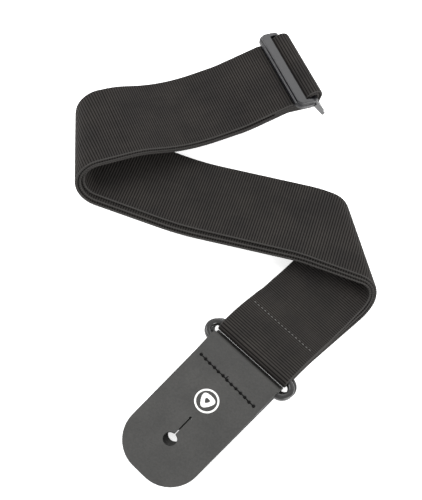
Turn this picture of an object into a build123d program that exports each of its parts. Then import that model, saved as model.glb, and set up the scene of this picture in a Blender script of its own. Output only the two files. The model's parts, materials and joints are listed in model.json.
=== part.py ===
"""Adjustable webbing guitar strap, lying folded in a flat Z. Millimetres, +Z up.

One long band of ribbed webbing does all the work. It is sewn round the front ring, runs to the
slider, passes over the slider's middle bar, runs back to the rear ring, turns round it, and runs
to the slider again, where its end is sewn round the middle bar. So the folded strap is three
layers thick: the front run, the adjusting run and the return run. A folded leather tab hangs on
each ring. The strap lies with its rear ring and tab under the front ones.

Plan angles are in degrees anticlockwise from +X. The finished strap is moved so that its box
stands on Z = 0, centred on the Z axis.
"""
import os
from math import atan, cos, degrees, radians, sin, tan

from build123d import *

# Webbing
WEB_WIDTH = 50.0
WEB_THICK = 1.8
LAYER_STEP = 2.1  # from one stacked layer to the next: a thickness and a little air

# Leather tabs
LEATHER_THICK = 2.0
TAB_LENGTH = 85.5  # from the fold's outer face to the tip
TAB_WIDTH_RING = 49.0
TAB_WIDTH_TIP = 46.8
TIP_RADIUS = 19.5
HOLE_FROM_TIP = 23.5
HOLE_RADIUS = 3.8
SLIT_WIDTH = 0.6
SLIT_END_FROM_TIP = 39.2
SLIT_END_RADIUS = 0.7
PLIES_MEET = 11.0  # from the ring's bar to where the folded leather closes on itself
SEAM_FROM_BAR = 12.9  # the row of stitches that holds it closed
TAIL_FROM_BAR = 17.5  # where the turned-back leather ends

# Rings: a long oval of round bar
BAR_RADIUS = 1.9
RING_LENGTH = 62.5
BAR_SPACING = 11.0
LOOP_GAP = 0.3  # between a bar and what is folded round it
LEATHER_LOOP = BAR_RADIUS + LOOP_GAP + LEATHER_THICK / 2
WEB_LOOP = BAR_RADIUS + LOOP_GAP + WEB_THICK / 2

# Slider: a bent plate in two tiers with one window, and a round bar across the window
SLIDER_WIDTH = 60.0
SLIDER_WINDOW = 53.0
SLIDER_LEFT = -14.2
SLIDER_RIGHT = 9.4
WINDOW_LEFT = -6.9
WINDOW_RIGHT = 7.3
BEND_AT = -1.5
BEND_DROP = 49.0  # degrees
UPPER_TIER = 2.2
LOWER_TIER = 2.4
SLIDER_BOTTOM = -1.6  # the flat part's underside, from the middle bar's centre
TIER_STEP = 0.9
SLIDER_CORNER = 5.0
MIDDLE_BAR_RADIUS = 2.0
END_LOOP = 3.3  # centre line of the webbing end round the middle bar
PASS_LOOP = END_LOOP + LAYER_STEP  # centre line of the front run over it
SLIDER_PITCH = -3.0

# Layout in plan
LOWER_DIR = 64.0
MIDDLE_DIR = 177.7
UPPER_DIR = 40.4
RING_CENTRE = Vector(39.3, -67.3)
REAR_SHIFT = Vector(2.2, 5.6)
RIGHT_FOLD = 77.3  # distance of the right fold's axis from the layout's origin
LEFT_FOLD = 69.3
RIGHT_FOLD_INNER = 5.9  # centre line radius of the innermost layer
LEFT_FOLD_INNER = 8.3
SLIDER_DISTANCE = 133.3  # from the left fold to the slider's middle bar
SLIDER_HEIGHT = 36.0
FRONT_PITCH = 7.6  # the front tab slopes down to its tip, which lies on the rear tab
TAB_REACH = TAB_LENGTH - LEATHER_LOOP - LEATHER_THICK / 2  # from the bar's centre to the tip

UP = Vector(0, 0, 1)
HALF = WEB_THICK / 2
REAR_BAR_HEIGHT = LEATHER_THICK / 2 + LEATHER_LOOP
FRONT_BAR_HEIGHT = REAR_BAR_HEIGHT + 2 * LEATHER_LOOP + LEATHER_THICK + 0.3

# Layer numbers count outwards from the innermost layer of the fold that they pass through.
# Where each layer's centre line meets a fold's axis, measured along that axis, coming in below
# and going out above.
RIGHT_FOLD_LAYERS = {"front": (0, -28.1, -15.0), "adjusting": (1, -30.0, -14.5),
                     "return": (2, -31.5, -13.5)}
LEFT_FOLD_LAYERS = {"front": (2, -55.1, -67.0), "adjusting": (1, -56.5, -66.5),
                    "return": (0, -59.7, -66.5)}


def heading(angle):
    return Vector(cos(radians(angle)), sin(radians(angle)), 0)


class Fold:
    """A turn-over of all three layers about one level axis that lies across the strap."""

    def __init__(self, outward, distance, inner, arriving, layers):
        self.out = heading(outward)
        self.along = UP.cross(self.out)
        self.foot = self.out * distance
        self.inner = inner
        self.height = inner + 2 * LAYER_STEP + HALF
        self.half_length = WEB_WIDTH / 2 / abs(sin(radians(arriving - outward - 90)))
        self.layers = layers

    def radius(self, layer):
        return self.inner + LAYER_STEP * self.layers[layer][0]

    def arrival(self, layer):
        return self.foot + self.along * self.layers[layer][1]

    def departure(self, layer):
        return self.foot + self.along * self.layers[layer][2]

    def below(self, layer):
        return self.height - self.radius(layer)

    def above(self, layer):
        return self.height + self.radius(layer)

    def loop(self, layer):
        """Half a tube, with its ends slanted so that they follow the webbing's edges."""
        number, come_in, go_out = self.layers[layer]
        radius = self.radius(layer)
        slant = (go_out - come_in) / (2 * radius)
        middle = self.foot + self.along * ((come_in + go_out) / 2) + UP * self.height
        across = Plane(origin=middle, x_dir=self.out, z_dir=self.out.cross(UP))
        tube = strip(across, CenterArc((0, 0), radius, -90, 180), WEB_THICK, 4 * WEB_WIDTH)
        end_normal = self.along - UP * slant
        for side, keep in ((1, Keep.BOTTOM), (-1, Keep.TOP)):
            end = Plane(origin=middle + self.along * (side * self.half_length), z_dir=end_normal)
            tube = split(tube, bisect_by=end, keep=keep)
        return tube


def side_plane(start, direction, height=0.0, pitch=0.0):
    """A vertical plane through start: x runs along the strap and y points up."""
    right = direction.cross(UP)
    x_dir = direction.rotate(Axis((0, 0, 0), right), pitch)
    return Plane(origin=Vector(start.X, start.Y, height), x_dir=x_dir, z_dir=right)


def strip(plane, path, thick, width):
    return extrude(plane * trace(path, line_width=thick), width / 2, both=True)


def run(start, end, corners, radii, trims=()):
    """A stretch of webbing over a side view of corners (distance from start, height)."""
    path = FilletPolyline(*corners, radius=radii) if radii else Line(*corners)
    band = strip(side_plane(start, (end - start).normalized()), path, WEB_THICK, WEB_WIDTH)
    for fold in trims:
        band = split(band, bisect_by=Plane(origin=fold.foot, z_dir=fold.out), keep=Keep.BOTTOM)
    return band


right_fold = Fold((LOWER_DIR + MIDDLE_DIR) / 2 - 90, RIGHT_FOLD, RIGHT_FOLD_INNER, LOWER_DIR,
                  RIGHT_FOLD_LAYERS)
left_fold = Fold((MIDDLE_DIR + UPPER_DIR) / 2 + 90, LEFT_FOLD, LEFT_FOLD_INNER, MIDDLE_DIR,
                 LEFT_FOLD_LAYERS)
OVERRUN = 40.0  # past a fold's axis, before the run is trimmed there


# ---------------------------------------------------------------- slider, in its side view
slider_bar = left_fold.departure("front") + heading(UPPER_DIR) * SLIDER_DISTANCE
slider_view = side_plane(slider_bar, heading(UPPER_DIR), SLIDER_HEIGHT, SLIDER_PITCH)
ENTRY = -22.0  # where the straight runs end and the slider's own bends start
ENTRY_SLOPE = 22.7
ENTRY_FLAT = -15.6  # from here the webbing runs level under the slider's left bar
UNDER_BAR = -3.2  # the front run's height under that bar


def entry_height(layers_down):
    """Height, in the slider's view, of a layer where it comes to the slider."""
    return UNDER_BAR - layers_down * LAYER_STEP - (ENTRY_FLAT - ENTRY) * tan(radians(ENTRY_SLOPE))


def entry_in_layout(layers_down):
    """The same point as distance from the left fold and height above the ground."""
    point = slider_view.from_local_coords(Vector(ENTRY, entry_height(layers_down), 0))
    reach = (point - left_fold.departure("front")).dot(heading(UPPER_DIR))
    return reach, point.Z


def slider_pass():
    """The front run over the middle bar, which comes back below as the return run."""
    low = UNDER_BAR - 3 * LAYER_STEP
    path = FilletPolyline(
        (ENTRY, entry_height(0)), (ENTRY_FLAT, UNDER_BAR), (-PASS_LOOP, UNDER_BAR),
        (-PASS_LOOP, PASS_LOOP), (PASS_LOOP, PASS_LOOP), (PASS_LOOP, low), (ENTRY_FLAT, low),
        (ENTRY, entry_height(3)),
        radius=[8, 2.2, PASS_LOOP - 0.02, PASS_LOOP - 0.02, 4.5, 8])
    return strip(slider_view, path, WEB_THICK, WEB_WIDTH)


def end_loop():
    """The end of the adjusting run round the middle bar, and its tail sewn back on itself."""
    tail = UNDER_BAR - LAYER_STEP
    low = UNDER_BAR - 2 * LAYER_STEP
    tail_end = ENTRY - 4.0
    tail_drop = (ENTRY_FLAT - tail_end) * tan(radians(ENTRY_SLOPE))
    path = FilletPolyline(
        (ENTRY, entry_height(2)), (ENTRY_FLAT, low), (END_LOOP, low), (END_LOOP, END_LOOP),
        (-END_LOOP, END_LOOP), (-END_LOOP, tail), (ENTRY_FLAT, tail),
        (tail_end, tail - tail_drop),
        radius=[8, END_LOOP - 0.02, END_LOOP - 0.02, END_LOOP - 0.02, 1.6, 8])
    return strip(slider_view, path, WEB_THICK, WEB_WIDTH)


def slider_tier(height, thick, inset):
    """One tier of the bent plate: its side view, cut to a rounded outline."""
    drop = (SLIDER_RIGHT - BEND_AT) * tan(radians(BEND_DROP))
    path = FilletPolyline((SLIDER_LEFT + inset, height), (BEND_AT, height),
                          (SLIDER_RIGHT - inset, height - drop), radius=5)
    plate = strip(slider_view, path, thick, SLIDER_WIDTH)
    left_edge = SLIDER_LEFT + inset
    right_edge = SLIDER_RIGHT + 10  # past the plate's end, so that only its left corners are round
    outline = RectangleRounded(right_edge - left_edge, SLIDER_WIDTH - 2 * inset,
                               SLIDER_CORNER - inset)
    seen_from_above = slider_view * Pos((left_edge + right_edge) / 2, 0, 0) * Rot(90, 0, 0)
    return plate & extrude(seen_from_above * outline, 20, both=True)


def slider_frame():
    tier_joint = SLIDER_BOTTOM + LOWER_TIER
    upper = slider_tier(tier_joint + UPPER_TIER / 2, UPPER_TIER, TIER_STEP)
    lower = slider_tier(SLIDER_BOTTOM + LOWER_TIER / 2, LOWER_TIER, 0)
    window = Pos((WINDOW_LEFT + WINDOW_RIGHT) / 2, 0, 0) * Box(
        WINDOW_RIGHT - WINDOW_LEFT, 30, SLIDER_WINDOW)
    relief = Pos(BEND_AT - 0.5, SLIDER_BOTTOM + 0.9, 0) * Rot(0, 0, 40)
    notch = Box(3.6, 0.9, 3.0)
    frame = upper + lower - slider_view * window
    for side in (-1, 1):
        frame -= slider_view * relief * Pos(0, 0, side * SLIDER_WIDTH / 2) * notch
    return frame + slider_view * Cylinder(MIDDLE_BAR_RADIUS, SLIDER_WINDOW + 2)


# ---------------------------------------------------------------- rings and their loops
def bar_point(side, shift):
    """Plan position of a ring's bar: side 1 holds the webbing and side -1 the leather."""
    return RING_CENTRE + shift + heading(LOWER_DIR) * (side * BAR_SPACING / 2)


def ring(shift, height):
    view = side_plane(RING_CENTRE + shift, heading(LOWER_DIR), height)
    half_bar = (RING_LENGTH - BAR_SPACING - 2 * BAR_RADIUS) / 2
    oval = None
    for side in (-1, 1):
        bar = Pos(side * BAR_SPACING / 2, 0, 0) * Cylinder(BAR_RADIUS, 2 * half_bar)
        bend = Pos(0, 0, side * half_bar) * Rot(90 * side, 0, 0) * Torus(
            BAR_SPACING / 2, BAR_RADIUS, major_angle=180, align=None)
        oval = bar + bend if oval is None else oval + bar + bend
    return view * oval


FRONT_SLOPE_START = 13.0
FRONT_SLOPE_END = 52.0
LOOP_REACH = 6.0  # how far the loops round the rings reach
RUN_START = LOOP_REACH + 1.7  # the runs leave at slightly different angles, so they start clear
FRONT_TAIL_BEND = 19.0
FRONT_TAIL_END = 27.5
FRONT_SEAM = 23.5  # the row of stitches that closes the loop round the front ring

front_bar = bar_point(1, Vector(0, 0))
rear_bar = bar_point(1, REAR_SHIFT)
front_top = FRONT_BAR_HEIGHT + WEB_LOOP
front_level = right_fold.below("front")
front_fall = (front_top - front_level) / (FRONT_SLOPE_END - FRONT_SLOPE_START)


def under_front_run(distance):
    """Height of the sewn tail where it lies against the underside of the front run."""
    return front_top - front_fall * (distance - FRONT_SLOPE_START) - LAYER_STEP - 0.15


def front_ring_loop():
    bottom = FRONT_BAR_HEIGHT - WEB_LOOP
    path = FilletPolyline(
        (FRONT_TAIL_END, under_front_run(FRONT_TAIL_END)),
        (FRONT_TAIL_BEND, under_front_run(FRONT_TAIL_BEND)),
        (3, bottom), (-WEB_LOOP, bottom), (-WEB_LOOP, front_top), (LOOP_REACH, front_top),
        radius=[12, 12, WEB_LOOP - 0.02, WEB_LOOP - 0.02])
    return strip(side_plane(front_bar, heading(LOWER_DIR)), path, WEB_THICK, WEB_WIDTH)


def rear_ring_loop():
    bottom = REAR_BAR_HEIGHT - WEB_LOOP
    top = REAR_BAR_HEIGHT + WEB_LOOP
    path = FilletPolyline((LOOP_REACH, bottom), (-WEB_LOOP, bottom), (-WEB_LOOP, top),
                          (LOOP_REACH, top), radius=WEB_LOOP - 0.02)
    return strip(side_plane(rear_bar, heading(LOWER_DIR)), path, WEB_THICK, WEB_WIDTH)


# ---------------------------------------------------------------- leather tabs
def tab_view(shift, height, pitch):
    """Side view of a tab: x runs from the ring's bar towards the tip."""
    return side_plane(bar_point(-1, shift), heading(LOWER_DIR + 180), height, -pitch)


def tab_outline():
    """The tab from above, from past its fold to its rounded tip, slightly narrower there."""
    back = -LEATHER_LOOP - LEATHER_THICK
    body = Polyline((back, TAB_WIDTH_RING / 2), (TAB_REACH, TAB_WIDTH_TIP / 2),
                    (TAB_REACH, -TAB_WIDTH_TIP / 2), (back, -TAB_WIDTH_RING / 2), close=True)
    face = make_face(body)
    tip_corners = face.vertices().filter_by(lambda v: v.X > TAB_REACH - 1)
    return fillet(tip_corners, TIP_RADIUS)


def leather_tab(view, side, main_height, tail_height):
    """Leather folded round the ring's bar; side 1 has the long ply on top, -1 below."""
    top = side * LEATHER_LOOP
    straight = abs(main_height - top) < 0.01
    bends = [] if straight else [(PLIES_MEET, main_height), (2.5, top)]
    bend_radii = [] if straight else [14, 10]
    path = FilletPolyline(
        (TAB_REACH, main_height), *bends,
        (-LEATHER_LOOP, top), (-LEATHER_LOOP, -top), (2.5, -top),
        (PLIES_MEET, tail_height), (TAIL_FROM_BAR, tail_height),
        radius=[*bend_radii, LEATHER_LOOP - 0.02, LEATHER_LOOP - 0.02, 6, 6])
    folded = strip(view, path, LEATHER_THICK, TAB_WIDTH_RING + 2)
    from_above = view * Rot(90, 0, 0)
    hole_x = TAB_REACH - HOLE_FROM_TIP
    slit_end = TAB_REACH - SLIT_END_FROM_TIP
    slit = Pos((hole_x + slit_end) / 2, 0, 0) * Box(hole_x - slit_end, SLIT_WIDTH, 30)
    hole = Pos(hole_x, 0, 0) * Cylinder(HOLE_RADIUS, 30)
    eye = Pos(slit_end, 0, 0) * Cylinder(SLIT_END_RADIUS, 30)
    shaped = folded & extrude(from_above * tab_outline(), 20, both=True)
    return shaped - from_above * (hole + slit + eye)


def seam(view, distance, heights, length, count, size):
    """A row of stitches across a strap or tab, lying on the face at each height."""
    stitches = []
    spacing = length / count
    for height in heights:
        for i in range(count):
            across = (i - (count - 1) / 2) * spacing
            stitches.append(view * Pos(distance, height, across) * Box(size, size, spacing * 0.62))
    return Compound(children=stitches)


# ---------------------------------------------------------------- assembly
def lower_front_run():
    start = front_bar
    end = right_fold.arrival("front")
    length = (end - start).length
    return run(start, end, [(RUN_START, front_top), (FRONT_SLOPE_START, front_top),
                            (FRONT_SLOPE_END, front_level), (length + OVERRUN, front_level)],
               [35, 60], [right_fold])


def lower_adjusting_run():
    start = rear_bar
    end = right_fold.arrival("adjusting")
    length = (end - start).length
    ring_height = REAR_BAR_HEIGHT + WEB_LOOP
    level = right_fold.below("adjusting")
    return run(start, end, [(RUN_START, ring_height), (12, ring_height), (38, level),
                            (length + OVERRUN, level)], [25, 25], [right_fold])


def lower_return_run():
    start = rear_bar
    end = right_fold.arrival("return")
    length = (end - start).length
    return run(start, end, [(RUN_START, REAR_BAR_HEIGHT - WEB_LOOP),
                            (length + OVERRUN, right_fold.below("return"))], [], [right_fold])


def middle_run(layer):
    start = right_fold.departure(layer)
    end = left_fold.arrival(layer)
    length = (end - start).length
    high = right_fold.above(layer)
    low = left_fold.below(layer)
    return run(start, end, [(-OVERRUN, high), (17, high), (95, low), (length + OVERRUN, low)],
               [60, 120], [right_fold, left_fold])


def upper_run(layer, layers_down, dip, rise):
    """From the left fold down to a dip and up to the slider's own bends."""
    start = left_fold.departure(layer)
    reach, height = entry_in_layout(layers_down)
    end = start + heading(UPPER_DIR) * reach
    high = left_fold.above(layer)
    return run(start, end, [(-OVERRUN, high), (16, high), (52, dip),
                            (rise, height - (reach - rise) * tan(radians(ENTRY_SLOPE + SLIDER_PITCH))),
                            (reach, height)], [55, 90, 50], [left_fold])


front_tab_view = tab_view(Vector(0, 0), FRONT_BAR_HEIGHT, FRONT_PITCH)
rear_tab_view = tab_view(REAR_SHIFT, REAR_BAR_HEIGHT, 0)


def front_seam_view(distance):
    """The front run's own slope, where its sewn tail lies under it."""
    direction = (right_fold.arrival("front") - front_bar).normalized()
    point = front_bar + direction * distance
    height = front_top - front_fall * (distance - FRONT_SLOPE_START)
    return side_plane(point, direction, height, -degrees(atan(front_fall)))


STITCH = 0.7
TAIL_STITCH = 0.12  # what shows in the narrow gap between the webbing's end and its next layer
FRONT_MAIN = 1.6  # height of the front tab's long ply over its ring's bar line
FRONT_TAIL = -0.5
REAR_MAIN = -LEATHER_LOOP
REAR_TAIL = -LEATHER_LOOP + 2.1
LEATHER_FACE = LEATHER_THICK / 2 + STITCH / 2
WEB_FACE = HALF + STITCH / 2
TAIL_SEAM = -19.0  # across the slope just before the slider
tail_gap = UNDER_BAR - 1.5 * LAYER_STEP - (ENTRY_FLAT - TAIL_SEAM) * tan(radians(ENTRY_SLOPE))
tail_seam_view = slider_view * Pos(TAIL_SEAM, tail_gap, 0) * Rot(0, 0, ENTRY_SLOPE)

nodes = {
    "webbing_front_ring_loop": front_ring_loop(),
    "webbing_front_lower": lower_front_run(),
    "webbing_front_right_fold": right_fold.loop("front"),
    "webbing_front_middle": middle_run("front"),
    "webbing_front_left_fold": left_fold.loop("front"),
    "webbing_front_upper": upper_run("front", 0, 16.8, 88),
    "webbing_over_slider_bar": slider_pass(),
    "webbing_return_upper": upper_run("return", 3, 12.6, 90.5),
    "webbing_return_left_fold": left_fold.loop("return"),
    "webbing_return_middle": middle_run("return"),
    "webbing_return_right_fold": right_fold.loop("return"),
    "webbing_return_lower": lower_return_run(),
    "webbing_rear_ring_loop": rear_ring_loop(),
    "webbing_adjusting_lower": lower_adjusting_run(),
    "webbing_adjusting_right_fold": right_fold.loop("adjusting"),
    "webbing_adjusting_middle": middle_run("adjusting"),
    "webbing_adjusting_left_fold": left_fold.loop("adjusting"),
    "webbing_adjusting_upper": upper_run("adjusting", 2, 14.7, 90),
    "webbing_end_loop": end_loop(),
    "slider_frame": slider_frame(),
    "ring_front": ring(Vector(0, 0), FRONT_BAR_HEIGHT),
    "ring_rear": ring(REAR_SHIFT, REAR_BAR_HEIGHT),
    "leather_tab_front": leather_tab(front_tab_view, 1, FRONT_MAIN, FRONT_TAIL),
    "leather_tab_rear": leather_tab(rear_tab_view, -1, REAR_MAIN, REAR_TAIL),
    "tab_stitching_front": seam(front_tab_view, SEAM_FROM_BAR,
                                (FRONT_MAIN + LEATHER_FACE, FRONT_TAIL - LEATHER_FACE),
                                42, 13, STITCH),
    "tab_stitching_rear": seam(rear_tab_view, SEAM_FROM_BAR, (REAR_TAIL + LEATHER_FACE,),
                               42, 13, STITCH),
    "webbing_stitching_front": seam(front_seam_view(FRONT_SEAM), 0, (WEB_FACE,), 44, 17, STITCH),
    "webbing_stitching_slider": seam(tail_seam_view, 0, (0,), 44, 17, TAIL_STITCH),
}

boxes = [shape.bounding_box() for shape in nodes.values()]
middle_x = (min(box.min.X for box in boxes) + max(box.max.X for box in boxes)) / 2
middle_y = (min(box.min.Y for box in boxes) + max(box.max.Y for box in boxes)) / 2
to_origin = Pos(-middle_x, -middle_y, -min(box.min.Z for box in boxes))

os.makedirs("parts", exist_ok=True)
for name, shape in nodes.items():
    export_step(to_origin * shape, f"parts/{name}.step")
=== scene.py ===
"""Looks of the folded guitar strap: ribbed webbing, leather tabs, plastic rings and slider."""
import json
import math
import random

import bpy
import numpy as np
from mathutils import Matrix, Vector


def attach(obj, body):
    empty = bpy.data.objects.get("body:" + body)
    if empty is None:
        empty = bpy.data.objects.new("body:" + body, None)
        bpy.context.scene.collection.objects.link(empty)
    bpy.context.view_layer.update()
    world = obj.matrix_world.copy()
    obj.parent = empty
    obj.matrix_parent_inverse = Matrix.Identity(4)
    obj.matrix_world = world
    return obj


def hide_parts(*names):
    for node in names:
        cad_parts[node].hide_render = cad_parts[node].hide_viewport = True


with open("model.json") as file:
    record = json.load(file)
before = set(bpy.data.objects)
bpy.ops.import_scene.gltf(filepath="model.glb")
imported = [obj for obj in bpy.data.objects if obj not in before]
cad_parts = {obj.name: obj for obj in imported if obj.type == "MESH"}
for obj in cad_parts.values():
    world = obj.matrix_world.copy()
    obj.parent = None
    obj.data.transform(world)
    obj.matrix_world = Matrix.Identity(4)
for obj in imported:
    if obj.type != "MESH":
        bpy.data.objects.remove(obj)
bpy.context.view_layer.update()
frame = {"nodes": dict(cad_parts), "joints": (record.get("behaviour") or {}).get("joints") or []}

MM = 0.001
joints = {joint["name"]: joint for joint in frame["joints"]}

# ---------------------------------------------------------------- layout, in millimetres
# The same figures as the CAD model, in its layout frame. Angles are anticlockwise from +X.
LOWER_DIR, UPPER_DIR = 64.0, 40.4
RING_CENTRE = np.array([39.3, -67.3])
REAR_SHIFT = np.array([2.2, 5.6])
BAR_SPACING = 11.0
WEB_WIDTH, WEB_THICK, LAYER_STEP = 50.0, 1.8, 2.1
WEB_LOOP = 3.1
RING_LENGTH, RING_BAR_RADIUS = 62.5, 1.9
REAR_BAR, FRONT_BAR = 4.2, 12.9
FRONT_PITCH = 7.6
SLIDER_HEIGHT, SLIDER_PITCH = 36.0, -3.0
RIGHT_OUT, RIGHT_FOLD, RIGHT_INNER = 30.85, 77.3, 5.9
LEFT_OUT, LEFT_FOLD, LEFT_INNER = 199.05, 69.3, 8.3
# Per fold and layer: layers out from the innermost, and where the layer's centre line meets the
# fold's axis on its lower and on its upper side.
RIGHT_LAYERS = {"front": (0, -28.1, -15.0), "adjusting": (1, -30.0, -14.5),
                "return": (2, -31.5, -13.5)}
LEFT_LAYERS = {"front": (2, -55.1, -67.0), "adjusting": (1, -56.5, -66.5),
               "return": (0, -59.7, -66.5)}
TAB_REACH = 81.3


def heading(angle):
    return np.array([math.cos(math.radians(angle)), math.sin(math.radians(angle))])


def angle_of(v):
    return math.degrees(math.atan2(v[1], v[0]))


front_bar_plan = RING_CENTRE + heading(LOWER_DIR) * BAR_SPACING / 2
rear_bar_plan = front_bar_plan + REAR_SHIFT
OFFSET = np.array(joints["ring_front_swing"]["pos_m"]) / MM - np.array([*front_bar_plan, FRONT_BAR])


def to_row(points):
    """Layout millimetres to the row frame's metres."""
    return (np.asarray(points) + OFFSET) * MM


slider_bar_plan = np.array(joints["slider_rock"]["pos_m"][:2]) / MM - OFFSET[:2]


class Fold:
    def __init__(self, out, distance, inner, layers):
        self.out_angle = out
        self.out = heading(out)
        self.along = heading(out + 90)
        self.foot = self.out * distance
        self.height = inner + 2 * LAYER_STEP + WEB_THICK / 2
        self.radius = {name: inner + LAYER_STEP * number for name, (number, _, _) in layers.items()}
        self.low = {name: low for name, (_, low, _) in layers.items()}
        self.high = {name: high for name, (_, _, high) in layers.items()}

    def point(self, where):
        return self.foot + self.along * where

    def below(self, layer):
        return self.height - self.radius[layer]

    def above(self, layer):
        return self.height + self.radius[layer]


right = Fold(RIGHT_OUT, RIGHT_FOLD, RIGHT_INNER, RIGHT_LAYERS)
left = Fold(LEFT_OUT, LEFT_FOLD, LEFT_INNER, LEFT_LAYERS)
LOWER_START = {"front": front_bar_plan, "adjusting": rear_bar_plan, "return": rear_bar_plan}


def fit_folds():
    """Slides each layer's meeting points a little, so that the webbing rolls without stretch."""
    for _ in range(4):
        for layer in ("front", "adjusting", "return"):
            lower = right.point(right.low[layer]) - LOWER_START[layer]
            middle = left.point(left.low[layer]) - right.point(right.high[layer])
            upper = slider_bar_plan - left.point(left.high[layer])
            for fold, arriving, leaving in ((right, lower, middle), (left, middle, upper)):
                turn = (angle_of(arriving) + angle_of(leaving)) / 2
                axis_sign = 1 if heading(turn) @ fold.along > 0 else -1
                beta = abs(90 - abs((angle_of(arriving) - turn + 180) % 360 - 180))
                wanted = axis_sign * math.pi * fold.radius[layer] * math.tan(math.radians(beta))
                short = wanted - (fold.high[layer] - fold.low[layer])
                fold.low[layer] -= short / 2
                fold.high[layer] += short / 2


fit_folds()


class SidePath:
    """A side view of the webbing: straight stretches joined by arcs, by arc length."""

    def __init__(self, corners, radii):
        points = [np.array(p, float) for p in corners]
        self.pieces = []
        here, length = points[0], 0.0
        way = math.atan2(*(points[1] - points[0])[::-1])
        for i in range(1, len(points)):
            end, arc = points[i], None
            if i < len(points) - 1:
                away = math.atan2(*(points[i + 1] - points[i])[::-1])
                turn = (away - way + math.pi) % (2 * math.pi) - math.pi
                radius = radii[i - 1]
                trim = radius * math.tan(abs(turn) / 2)
                end = points[i] - trim * np.array([math.cos(way), math.sin(way)])
                arc = (radius, turn)
            straight = float(np.linalg.norm(end - here))
            self.pieces.append((length, here, way, 0.0))
            length += straight
            if arc:
                self.pieces.append((length, end, way, math.copysign(1 / arc[0], arc[1])))
                length += arc[0] * abs(arc[1])
                way += arc[1]
                here = end + trim * np.array([math.cos(away), math.sin(away)]) + trim * np.array(
                    [math.cos(way - arc[1]), math.sin(way - arc[1])])
        self.length = length

    def at(self, s):
        """x, y and tangent angle at each arc length."""
        x, y, angle = np.zeros_like(s), np.zeros_like(s), np.zeros_like(s)
        starts = np.array([piece[0] for piece in self.pieces])
        which = np.clip(np.searchsorted(starts, s, side="right") - 1, 0, len(starts) - 1)
        for number, (start, origin, way, bend) in enumerate(self.pieces):
            here = which == number
            u = s[here] - start
            turned = way + bend * u
            if bend:
                x[here] = origin[0] + (np.sin(turned) - math.sin(way)) / bend
                y[here] = origin[1] + (math.cos(way) - np.cos(turned)) / bend
            else:
                x[here] = origin[0] + u * math.cos(way)
                y[here] = origin[1] + u * math.sin(way)
            angle[here] = turned
        return x, y, angle


class PlanLine:
    """A plan view that leaves start squarely to a bar and settles on a line through end."""

    def __init__(self, start, end, start_angle=None, settle=28.0):
        chord = end - start
        final = math.radians(angle_of(chord))
        first = final if start_angle is None else math.radians(start_angle)
        first = final + (first - final + math.pi) % (2 * math.pi) - math.pi
        self.reach = float(np.linalg.norm(chord))
        self.x = np.arange(-12.0, self.reach + 60.0, 0.25)
        for _ in range(4):
            t = np.clip((self.x - 4) / (settle - 4), 0, 1)
            self.angle = first + (final - first) * t * t * (3 - 2 * t)
            steps = np.stack([np.cos(self.angle), np.sin(self.angle)], 1) * 0.25
            walked = np.vstack([[0, 0], np.cumsum((steps[1:] + steps[:-1]) / 2, 0)])
            zero = np.array([np.interp(0, self.x, walked[:, k]) for k in (0, 1)])
            self.line = walked - zero + start
            got = np.array([np.interp(self.reach, self.x, self.line[:, k]) for k in (0, 1)])
            missed = math.radians(angle_of(end - start) - angle_of(got - start))
            final += missed

    def at(self, x):
        centre = np.stack([np.interp(x, self.x, self.line[:, k]) for k in (0, 1)], 1)
        angle = np.interp(x, self.x, self.angle)
        return centre, np.stack([np.cos(angle), np.sin(angle)], 1)


class Leg:
    """Webbing between two folds: a side view along one or two plan lines."""

    def __init__(self, path, plan, plan_back=None, face_up=1):
        self.path, self.length = path, path.length
        self.plan, self.plan_back = plan, plan_back
        s = np.linspace(0, self.length, 4000)
        x, _, angle = path.at(s)
        self.apex = s[int(np.argmin(x))] if plan_back is not None else self.length + 1
        self.sign = face_up * (1 if math.cos(angle[0]) > 0 else -1)

    def surface(self, s, w):
        x, y, angle = self.path.at(s)
        centre, way = self.plan.at(x)
        if self.plan_back is not None:
            other_centre, other_way = self.plan_back.at(x)
            back = s > self.apex
            centre[back], way[back] = other_centre[back], other_way[back]
        side = self.sign * np.stack([way[:, 1], -way[:, 0]], 1)
        points = np.zeros((len(s), len(w), 3))
        points[:, :, :2] = centre[:, None, :] + side[:, None, :] * w[None, :, None]
        points[:, :, 2] = y[:, None]
        normal = np.zeros((len(s), 3))
        normal[:, :2] = -np.sin(angle)[:, None] * way
        normal[:, 2] = np.cos(angle)
        normals = np.repeat((self.sign * normal)[:, None, :], len(w), 1)
        return points, normals

    def where(self, x, after_apex):
        s = np.linspace(self.apex if after_apex else 0, self.length if after_apex else self.apex,
                        6000)
        return float(s[int(np.argmin(abs(self.path.at(s)[0] - x)))])


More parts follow.
